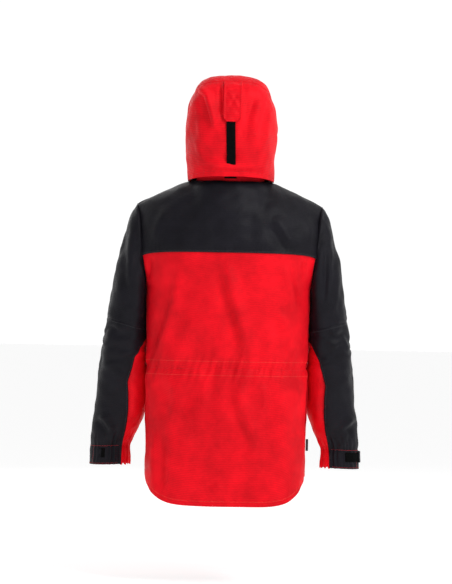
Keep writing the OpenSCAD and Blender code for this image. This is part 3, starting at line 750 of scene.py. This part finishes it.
SLEEVE_FOLDS = {
    "left": [
        ([(262, -100), (268, -180), (262, -262), (250, -330)], 10, 2.4, "crease"),
        ([(300, -180), (296, -260), (300, -340)], 16, 2.0, "crease"),
        ([(268, -412), (256, -420), (243, -423)], 5, 1.6, "ridge"),
        ([(300, -366), (285, -392), (262, -404)], 9, 2.0, "crease"),
        ([(316, -372), (322, -440), (318, -520)], 16, 2.4, "crease"),
        ([(276, -440), (290, -500), (300, -560)], 14, 1.8, "crease"),
        ([(340, -618), (322, -632), (300, -662)], 9, 3.4, "crease"),
        ([(318, -600), (306, -640), (302, -690)], 10, 2.2, "ridge"),
    ],
    "right": [
        ([(258, -96), (264, -170), (262, -250), (252, -345)], 7, 2.6, "ridge"),
        ([(284, -128), (286, -230), (278, -345)], 8, 2.4, "ridge"),
        ([(300, -170), (302, -250), (298, -345)], 8, 2.0, "ridge"),
        ([(244, -150), (246, -230), (240, -330)], 9, 2.4, "crease"),
        ([(306, -368), (286, -390), (262, -398)], 8, 2.2, "crease"),
        ([(296, -420), (276, -436), (256, -440)], 8, 2.0, "crease"),
        ([(320, -390), (326, -460), (322, -540)], 15, 2.4, "crease"),
        ([(342, -612), (326, -630), (306, -650)], 9, 3.2, "crease"),
        ([(322, -640), (312, -670), (308, -694)], 8, 2.4, "ridge"),
    ],
}
INNER_FOLDS = [
    ([(262, -440), (252, -520), (249, -600), (258, -650)], 12, 3.6, "crease"),
    ([(240, -430), (230, -520), (232, -600)], 12, 2.0, "crease"),
]
# Where a sleeve bends at the shoulder and at the elbow: both ends of the stretch, in metres
BAND = {
    "shoulder": (np.array([0.993, 0, -0.121]) * 0.2495, np.array([0.993, 0, -0.121]) * 0.2655),
    "elbow": (np.array([0.268, -0.105, -0.386]), np.array([0.268, -0.125, -0.478])),
}


def sleeve_heights(panel, s, f, side_name, seed):
    q = panel.p[..., [0, 2]]
    rear = smooth(cosd(f) / 0.35)
    h = folds(q, SLEEVE_FOLDS[side_name]) * (2.4 * rear - 0.8)
    h += 1.6 * waves(panel.p, seed, 95) + 0.8 * waves(panel.p, seed + 1, 38)
    crook = bell(s - 5.7, 0.75)
    h += 1.5 * crook * np.sin(q[..., 1] / 5.2 + 2.2 * waves(panel.p, seed + 2, 60))
    h -= 1.0 * bell(s - 5, 0.05)
    snug = smooth((s - 9.2) / 0.6)
    arc = np.radians(f) * 50
    inner = 0.35 + 0.65 * smooth((-sind(f) + 0.75) / 0.5)
    rng = np.random.default_rng(seed + 3)
    drift = 0.8 * np.sin(s * 5)
    gathers = sum(np.sin(arc * 2 * np.pi / w + rng.uniform(0, 6.283) + drift) for w in (9, 11.5, 15)) / 3
    h += 3.0 * snug * inner * gathers - 1.6 * bell(s - 10, 0.16)
    hug = smooth(s / 0.7) * np.interp(s, [0, 1, 5, 6, 7.5], [8, 9, 9, 6, 0]) * smooth(-sind(f) * 1.6)
    outer_side = np.interp(s, [3, 6, 9, 11], [0, 5, 6, 3]) if side_name == "left" else 0 * s
    return h * smooth(s / 0.4 + 0.1) + hug + outer_side * smooth(sind(f))


def seam_half(s):
    """Half the angle that the red inner panel takes at row s of the lower sleeve."""
    return np.interp(s, [5, 5.3, 5.5, 6, 7, 8, 9, 10, 11], [0.4, 0.6, 30, 58, 77, 75, 65, 54, 58])


def cuff_piece(sign, f0, f1, s0, s1, lift, seed):
    """A patch on the cuff between two angles and two rows, held off the cloth by lift."""
    f, s = np.meshgrid(np.linspace(f0, f1, count(60, 1.5)), np.linspace(s1, s0, count(24, 1.5)))
    panel = Panel(sleeve_point(s, f), centre=(302, -165, -720))
    panel.push(lift + 0.3 * waves(panel.p, seed, 30))
    return on_side(panel, sign)


for side_name, sign in (("left", 1), ("right", -1)):
    seed = 100 if sign > 0 else 200
    upper_band = ("jacket", "upper_sleeve_" + side_name, *[tuple(v * (sign, 1, 1)) for v in BAND["shoulder"]])
    lower_band = ("upper_sleeve_" + side_name, "lower_sleeve_" + side_name,
                  *[tuple(v * (sign, 1, 1)) for v in BAND["elbow"]])
    fs = np.linspace(0, 360, count(400), endpoint=False)
    ss = np.linspace(5.02, -0.12, count(330))
    f, s = np.meshgrid(fs, ss)
    panel = Panel(sleeve_point(s, f), wrap=True)
    h = sleeve_heights(panel, s, f, side_name, seed)
    panel.push(h + 1.2 * bell(s, 0.25) + 45 * np.minimum(0, s))
    upper = on_side(panel, sign)
    put(cloth("upper_sleeve_cloth_" + side_name, upper, black_cloth, 1.6), "black_shell", upper_band,
        "sleeve_head_" + side_name, "upper_sleeve_" + side_name)

    ss = np.linspace(11, 5.0, count(400))
    ts = np.linspace(0, 1, count(330))
    t, s = np.meshgrid(ts, ss)
    half = seam_half(s)
    f = mix(-90 + half, 270 - half, t)
    panel = Panel(sleeve_point(s, f))
    h = sleeve_heights(panel, s, f, side_name, seed)
    near = np.minimum(t, 1 - t) * (360 - 2 * half) / 57.3 * 55
    panel.push(h + 0.9 * smooth((s - 5.3) / 0.3) - 0.4 * bell(near - 5, 1.4))
    outer = on_side(panel, sign)
    put(cloth("lower_sleeve_cloth_" + side_name, outer, black_cloth, 1.6), "black_shell", lower_band,
        "elbow_" + side_name, "lower_sleeve_outer_" + side_name)
    seam = [outer.at(np.linspace(0.02, 0.94, 300), 5 / 330 + np.zeros(300)),
            outer.at(np.linspace(0.02, 0.94, 300), 1 - 5 / 330 + np.zeros(300)),
            outer.at(np.full(400, 0.985), np.linspace(0.01, 0.99, 400))]
    put(sewing("sleeve_stitches_" + side_name, seam, black_thread, 3.4), "black_shell", lower_band)
    cuff_row = (11 - 10.02) / 6
    red_lines = [outer.at(np.full(300, cuff_row), np.linspace(0.04, 0.55, 300)),
                 outer.at(np.full(300, 0.012), np.linspace(0.04, 0.55, 300)),
                 outer.at(np.linspace(0.02, cuff_row, 60), np.full(60, 0.365))]
    put(sewing("cuff_stitches_" + side_name, red_lines, red_thread, 3.0, 0.75, 0.5), "red_shell", lower_band)

    ss = np.linspace(11, 5.28, count(380))
    t, s = np.meshgrid(np.linspace(0, 1, count(150)), ss)
    half = np.maximum(seam_half(s), 0.3) + 3
    f = mix(-90 - half, -90 + half, t)
    panel = Panel(sleeve_point(s, f), centre=(300, -120, -550))
    h = sleeve_heights(panel, s, f, side_name, seed)
    h += folds(panel.p[..., [0, 2]], INNER_FOLDS)
    panel.push(h - 0.8)
    scallop = 3.0 * np.sin(np.radians(f) * 50 / 2.1) * smooth((s - 10.6) / 0.4)
    panel.p[..., 2] += scallop
    inner = on_side(panel, sign)
    put(cloth("inner_sleeve_cloth_" + side_name, inner, red_cloth, 1.4), "red_shell", lower_band,
        "lower_sleeve_inner_" + side_name)

    # cuff: elastic inside, loop patch and tab outside
    fs = np.linspace(0, 360, count(320), endpoint=False)
    f, s = np.meshgrid(fs, np.linspace(10.9, 10.1, count(40)))
    panel = Panel(sleeve_point(s, f), wrap=True)
    panel.push(-5.4 + 0.4 * np.sin(np.radians(f) * 50))
    ring = on_side(panel, sign)
    put(cloth("cuff_elastic_cloth_" + side_name, ring, elastic_cloth, 1.2), "elastic",
        "lower_sleeve_" + side_name, "cuff_elastic_" + side_name)

    loop = cuff_piece(sign, 16, 84, 10.13, 10.62, 3.4, 301)
    put(cloth("cuff_loop_cloth_" + side_name, loop, fuzz, 1.6), "hook_and_loop", "lower_sleeve_" + side_name,
        "cuff_loop_" + side_name)
    tab = cuff_piece(sign, 66, 150, 10.08, 10.66, 5.4, 302)
    put(cloth("cuff_tab_cloth_" + side_name, tab, black_cloth, 1.7), "black_shell", "cuff_tab_" + side_name,
        "cuff_tab_" + side_name)
    rim = [tab.at(np.full(80, r), np.linspace(0.03, 0.97, 80)) for r in (0.1, 0.9)]
    put(sewing("cuff_tab_stitches_" + side_name, rim, black_thread, 2.8), "black_shell",
        "cuff_tab_" + side_name)

# ---------------------------------------------------------------- hood

HOOD_FOLDS = [
    ([(100, 246), (72, 214), (62, 184), (55, 162), (45, 128)], 9, 6.5, "crease"),
    ([(104, 118), (84, 84), (70, 52)], 9, 3.0, "ridge"),
    ([(100, 170), (88, 120), (80, 70)], 12, 2.6, "crease"),
    ([(-74, 238), (-57, 184), (-48, 123), (-44, 72)], 13, 3.0, "crease"),
    ([(-98, 200), (-86, 150), (-84, 90)], 12, 2.0, "crease"),
    ([(-52, 119), (-70, 116), (-90, 118)], 4, 1.6, "ridge"),
    ([(28, 256), (27, 220), (25, 160)], 4, 3.4, "crease"),
    ([(-22, 250), (-21, 210), (-19, 165)], 4, 2.0, "crease"),
    ([(-40, 60), (-10, 48), (40, 52), (90, 60)], 9, 1.8, "crease"),
    ([(96, 40), (40, 30), (-30, 30), (-100, 36)], 7, 1.2, "crease"),
]


def hood_cloth(a0, a1, lift, seed, turned=84):
    arc = HOOD_ARC * (a1 - a0)
    b, a = np.meshgrid(np.linspace(-turned, turned, count(620)), np.linspace(a0, a1, count(arc)))
    panel = Panel(hood_point(a, b), centre=(0, -60, 130))
    p = panel.p
    rear = smooth((p[..., 1] + 40) / 60)
    h = HOOD_FOLD_GAIN * folds(p[..., [0, 2]], HOOD_FOLDS) * rear
    side_q = np.stack([p[..., 1], p[..., 2]], -1)
    h += (1 - rear) * folds(side_q, [([(-20, 230), (-60, 150), (-110, 70)], 18, 4.0, "crease"),
                                     ([(-100, 250), (-110, 170), (-140, 90)], 14, 3.0, "crease")])
    h += 1.5 * waves(p, seed, 80) + 0.5 * waves(p, seed + 1, 32)
    seam = (a - 0.62) * HOOD_ARC
    h += puckers(p[..., 0], seam, 12, 11, 0.45, seed + 2) - 1.3 * bell(seam, 2.4)
    front = (1 - a) * HOOD_ARC
    h += -0.5 * bell(front - 22, 1.6) + puckers(p[..., 0] + p[..., 2], front - 22, 14, 13, 0.4, seed + 3)
    base = a * HOOD_ARC
    h += puckers(p[..., 0], base - 20, 14, 12, 0.3, seed + 4) - 0.5 * bell(base - 20, 1.6)
    h *= 1 - 0.8 * smooth((np.abs(p[..., 0]) - 86) / 22) * rear
    return panel.push(np.maximum(h, -LINING_DEPTH) + lift)


def crush(obj):
    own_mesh(obj)


lower = hood_cloth(0.0, 0.624, 0.5, 401)
upper = hood_cloth(0.616, 1.0, 0.0, 401)
pieces = [
    put(cloth("hood_back_cloth", lower, red_cloth, 1.8), "red_shell", "hood", "hood_back"),
    put(cloth("hood_crown_cloth", upper, red_cloth, 1.8), "red_shell", "hood", "hood_crown"),
]
b, a = np.meshgrid(np.linspace(-81, 81, count(560, 6)), np.linspace(0.03, 0.97, count(520, 6)))
panel = Panel(hood_point(a, b), centre=(0, -60, 130)).push(-6.5 + 0 * a)
pieces.append(put(cloth("hood_lining_cloth", panel, lining_cloth, 1.0), "lining", "hood", "hood_lining"))


def hood_lines(panel, rows):
    """Sewing lines across one hood panel, at those shares of its rows."""
    return [lines(panel, r, lambda t: 0.02 + 0.96 * t, 700, 0.05) for r in rows]


stitches = hood_lines(lower, (0.968, 20 / (HOOD_ARC * 0.624)))
stitches += hood_lines(upper, (0.05, 1 - 22 / (HOOD_ARC * 0.384)))
pieces.append(put(sewing("hood_stitches", stitches, red_thread, 3.4), "red_shell", "hood"))

b, t = np.meshgrid(np.linspace(-62, 62, count(250)), np.linspace(1, 0, count(34, 2)))
edge_p = hood_point(1 + 0 * b, b)
reach = 34 * cosd(b * 1.25)
ahead = np.array([0, -1, -0.12]) / np.linalg.norm([0, -1, -0.12])
panel = Panel(edge_p + (t * reach)[..., None] * ahead + np.array([0, -0.6, -0.8]), centre=(0, -170, 100))
panel.push(0.6 * waves(panel.p, 411, 60))
pieces.append(put(cloth("hood_brim_cloth", panel, red_cloth, 2.4), "red_shell", "hood", "hood_brim"))
rows = [lines(panel, r, lambda t: 0.04 + 0.92 * t, 300, 0.05) for r in (0.2, 0.4, 0.6)]
pieces.append(put(sewing("hood_brim_stitches", rows, red_thread, 3.2), "red_shell", "hood"))


def over_hood(a0, a1, x0, x1, lift, drift, seed, size, cell=1.6):
    """A strip that lies on the back of the hood: drift slants it, lift holds it off the cloth."""
    rows = count(HOOD_ARC * (a1 - a0), cell)
    x, a = np.meshgrid(np.linspace(x0, x1, count(x1 - x0, cell)), np.linspace(a0, a1, rows))
    x = x + drift * (a - a0) / (a1 - a0)
    g = hood_point(a, 0 * a)
    p = np.stack([x, g[..., 1] - 0.0012 * x * x, g[..., 2]], -1)
    panel = Panel(p, centre=(0, -60, 130))
    return panel.push(lift + size * waves(p, seed, 22)), x, a


strip, _, _ = over_hood(0.052, 0.5, -13, 10, 3.4, 5, 421, 0.5)
pieces.append(put(cloth("hood_strip_cloth", strip, fuzz, 1.4), "hook_and_loop", "hood", "hood_strip"))
hook, _, _ = over_hood(0.36, 0.46, -11, 9, 4.9, 1, 422, 0.2)
hook_obj = put(cloth("hood_tab_hook_cloth", hook, fuzz, 1.0), "hook_and_loop", "hood_tab", "hood_tab_hook")
tab, x, a = over_hood(0.345, 0.615, -26, 22, 6.6, -1, 423, 0.7)
cut = smooth((0.375 - a) / 0.03)
tab.p[..., 0] = np.where(cut > 0, np.clip(tab.p[..., 0], -26 + 9 * cut, 22 - 9 * cut), tab.p[..., 0])
wrinkle = folds(tab.p[..., [0, 2]], [([(-20, 190), (0, 214), (14, 236)], 5, 1.6, "ridge"),
                                     ([(10, 180), (-4, 205), (-16, 236)], 5, -1.4, "ridge"),
                                     ([(-22, 226), (0, 230), (18, 226)], 4, 1.2, "crease")])
tab.push(wrinkle - 3.0 * smooth((a - 0.57) / 0.04) + 1.6 * bell(np.abs(x + 2) - 22, 3))
tab_obj = put(cloth("hood_tab_cloth", tab, red_cloth, 1.5), "red_shell", "hood_tab", "hood_tab")
rim = [lines(tab, lambda t: 0.1 + 0.88 * t, c, 160, 0.05) for c in (0.08, 0.92)]
rim.append(lines(tab, 0.06, lambda t: 0.22 + 0.56 * t, 100, 0.05))
rim_obj = put(sewing("hood_tab_stitches", rim, red_thread, 3.0), "red_shell", "hood_tab")
for obj in pieces + [hook_obj, tab_obj, rim_obj]:
    crush(obj)

# ---------------------------------------------------------------- front: storm flap and pockets

ZIP_LOW = np.array([0, front_y(-748.0), -748.0])


def on_zip(x, y, z):
    """Point of the zip's own frame: up along the zip, outwards is -Y."""
    c, s = math.cos(ZIP_TILT), math.sin(ZIP_TILT)
    return np.stack([x + 0 * z, ZIP_LOW[1] + y * c + z * s, ZIP_LOW[2] + z * c - y * s], -1)


along = np.linspace(8, 692 / math.cos(ZIP_TILT), count(680))
z, k = np.meshgrid(along, np.linspace(0, 1, count(84, 2)), indexing="ij")
x = mix(36, -30, k)
y = -2.6 - 9.4 * smooth((22 - x) / 12) * smooth((x + 15) / 9) - 2.4 * smooth(k * 2)
panel = Panel(on_zip(x, y, z), centre=(0, -60, -400))
h = 0.8 * waves(panel.p, 431, 70) * smooth(k * 3) * smooth((1 - k) * 4 + 0.2)
panel.push(h - 0.4 * bell(36 - x - 8, 1.2) - 0.4 * bell(x + 30 - 7, 1.2))
put(cloth("storm_flap_cloth", panel, red_cloth, 1.8), "red_shell", "storm_flap", "storm_flap")
rim = [lines(panel, lambda t: 0.01 + 0.98 * t, c, 500, 0.05) for c in (8 / 66, 1 - 7 / 66)]
put(sewing("storm_flap_stitches", rim, pale_red_thread, 3.6), "red_shell", "storm_flap")


def front_patch(z0, z1, b0, b1, rise, cell=2.0):
    """A patch on the left front, between two heights and two angles: rise is its height over the cloth."""
    up, across = np.linspace(0, 1, count(z1 - z0, cell)), np.linspace(0, 1, count(115, cell))
    q, p = np.meshgrid(up, across, indexing="ij")
    a = body_point(mix(z0, z1, q), mix(b0, b1, p), -1)
    out = np.stack([a[..., 0] * 0.35, a[..., 1] - MID_Y, 0 * q], -1)
    out /= np.linalg.norm(out, axis=-1, keepdims=True)
    return Panel(a + rise(p, q)[..., None] * out, centre=(60, MID_Y, -600)), p, q


for side_name, sign in (("left", 1), ("right", -1)):
    panel, p, q = front_patch(-700, -545, 54, 17, lambda p, q: 2.3 + 12 * np.minimum(1, np.minimum(
        np.minimum(7 * p, 7 * (1 - p)), 6 * q)))
    panel.push(1.0 * waves(panel.p, 441, 60) * smooth(p * 6) * smooth((1 - p) * 6) * smooth(q * 5))
    pocket = on_side(panel, sign)
    put(cloth("pocket_cloth_" + side_name, pocket, red_cloth, 1.6), "red_shell", "jacket",
        "pocket_" + side_name)
    rim = [lines(pocket, 0.88, lambda t: 0.03 + 0.94 * t, 200, 0.05),
           lines(pocket, 0.3, lambda t: 0.2 + 0.6 * t, 200, 0.05)]
    put(sewing("pocket_stitches_" + side_name, rim, pale_red_thread, 3.4), "red_shell", "jacket")
    panel, p, q = front_patch(-591, -529, 55, 16, lambda p, q: mix(17.5, 4.5, smooth(4 * q - 3)))
    panel.push(0.7 * waves(panel.p, 442, 50) * smooth(4 * (1 - q)))
    flap = on_side(panel, sign)
    put(cloth("pocket_flap_cloth_" + side_name, flap, red_cloth, 2.0), "red_shell",
        "pocket_flap_" + side_name, "pocket_flap_" + side_name)
    rim = [lines(flap, 0.11, lambda t: 0.06 + 0.88 * t, 200, 0.05)]
    rim += [lines(flap, lambda t: 0.11 + 0.8 * t, c, 90, 0.05) for c in (0.06, 0.94)]
    put(sewing("pocket_flap_stitches_" + side_name, rim, pale_red_thread, 3.4), "red_shell",
        "pocket_flap_" + side_name)

# ---------------------------------------------------------------- hard parts and trims keep their CAD shape

FINISH = [
    (braid, ["waist_drawcord"]),
    (plastic, ["cord_lock_left", "cord_lock_right", "lock_plunger_left", "lock_plunger_right",
               "zip_teeth_left", "zip_teeth_right", "zip_bottom_box"]),
    (bright_metal, ["lock_spring_left", "lock_spring_right", "front_snap_studs", "hood_eyelets"]),
    (webbing, ["hang_loop", "side_label", "zip_tape_left", "zip_tape_right"]),
    (fuzz, ["nape_patch"]),
    (dark_metal, ["zip_slider", "zip_puller"]),
    (cap_metal, ["flap_snap_caps"]),
]
for material, nodes in FINISH:
    for node in nodes:
        obj = bpy.data.objects[node]
        obj.data.materials.clear()
        obj.data.materials.append(material)

# ---------------------------------------------------------------- floor, light and camera

bpy.ops.mesh.primitive_plane_add(size=60, location=(0, 0, -1.05))
floor = bpy.context.object
floor.name = "floor"
floor_mat, floor_bsdf = node_material("pale_floor", (0.95, 0.95, 0.95), 0.9, Specular_IOR_Level=0.0)
floor_bsdf.inputs["Emission Color"].default_value = (1, 1, 1, 1)
floor_bsdf.inputs["Emission Strength"].default_value = 0.25
floor.data.materials.append(floor_mat)


def area_light(name, size, power, position, target):
    data = bpy.data.lights.new(name, "AREA")
    data.shape, data.size, data.size_y, data.energy = "RECTANGLE", size[0], size[1], power
    obj = bpy.data.objects.new(name, data)
    bpy.context.scene.collection.objects.link(obj)
    obj.location = position
    obj.rotation_euler = (Vector(target) - Vector(position)).to_track_quat("-Z", "Y").to_euler()
    return obj


key = area_light("key", (1.0, 1.0), 36, (-1.3, 1.5, 1.15), (0, 0, -0.3))
fill = area_light("fill", (2.2, 2.2), 4, (2.4, 2.6, -0.3), (0, 0, -0.5))
front_light = area_light("front_fill", (2.4, 2.4), 22, (1.2, -3.4, 1.2), (0, 0, -0.4))

# a white studio that is dimmer behind the camera, so that the key light shapes the cloth
world = bpy.data.worlds.new("studio")
bpy.context.scene.world = world
world.use_nodes = True
background = world.node_tree.nodes["Background"]
background.inputs["Color"].default_value = (1, 1, 1, 1)
direction = world.node_tree.nodes.new("ShaderNodeTexCoord")
parts = world.node_tree.nodes.new("ShaderNodeSeparateXYZ")
fade = world.node_tree.nodes.new("ShaderNodeMapRange")
fade.inputs["From Min"].default_value, fade.inputs["From Max"].default_value = -0.25, 0.35
fade.inputs["To Min"].default_value, fade.inputs["To Max"].default_value = 1.04, 0.4
world.node_tree.links.new(direction.outputs["Generated"], parts.inputs["Vector"])
world.node_tree.links.new(parts.outputs["Y"], fade.inputs["Value"])
world.node_tree.links.new(fade.outputs["Result"], background.inputs["Strength"])

camera_data = bpy.data.cameras.new("camera")
camera_data.sensor_fit, camera_data.sensor_height, camera_data.lens = "VERTICAL", 24, 111
camera = bpy.data.objects.new("camera", camera_data)
bpy.context.scene.collection.objects.link(camera)
camera.location = (0.006, 7.0, -0.286)
camera.rotation_euler = (math.radians(90), math.radians(-1.1), math.radians(180))
bpy.context.scene.camera = camera
bpy.context.scene.view_settings.view_transform = "Standard"
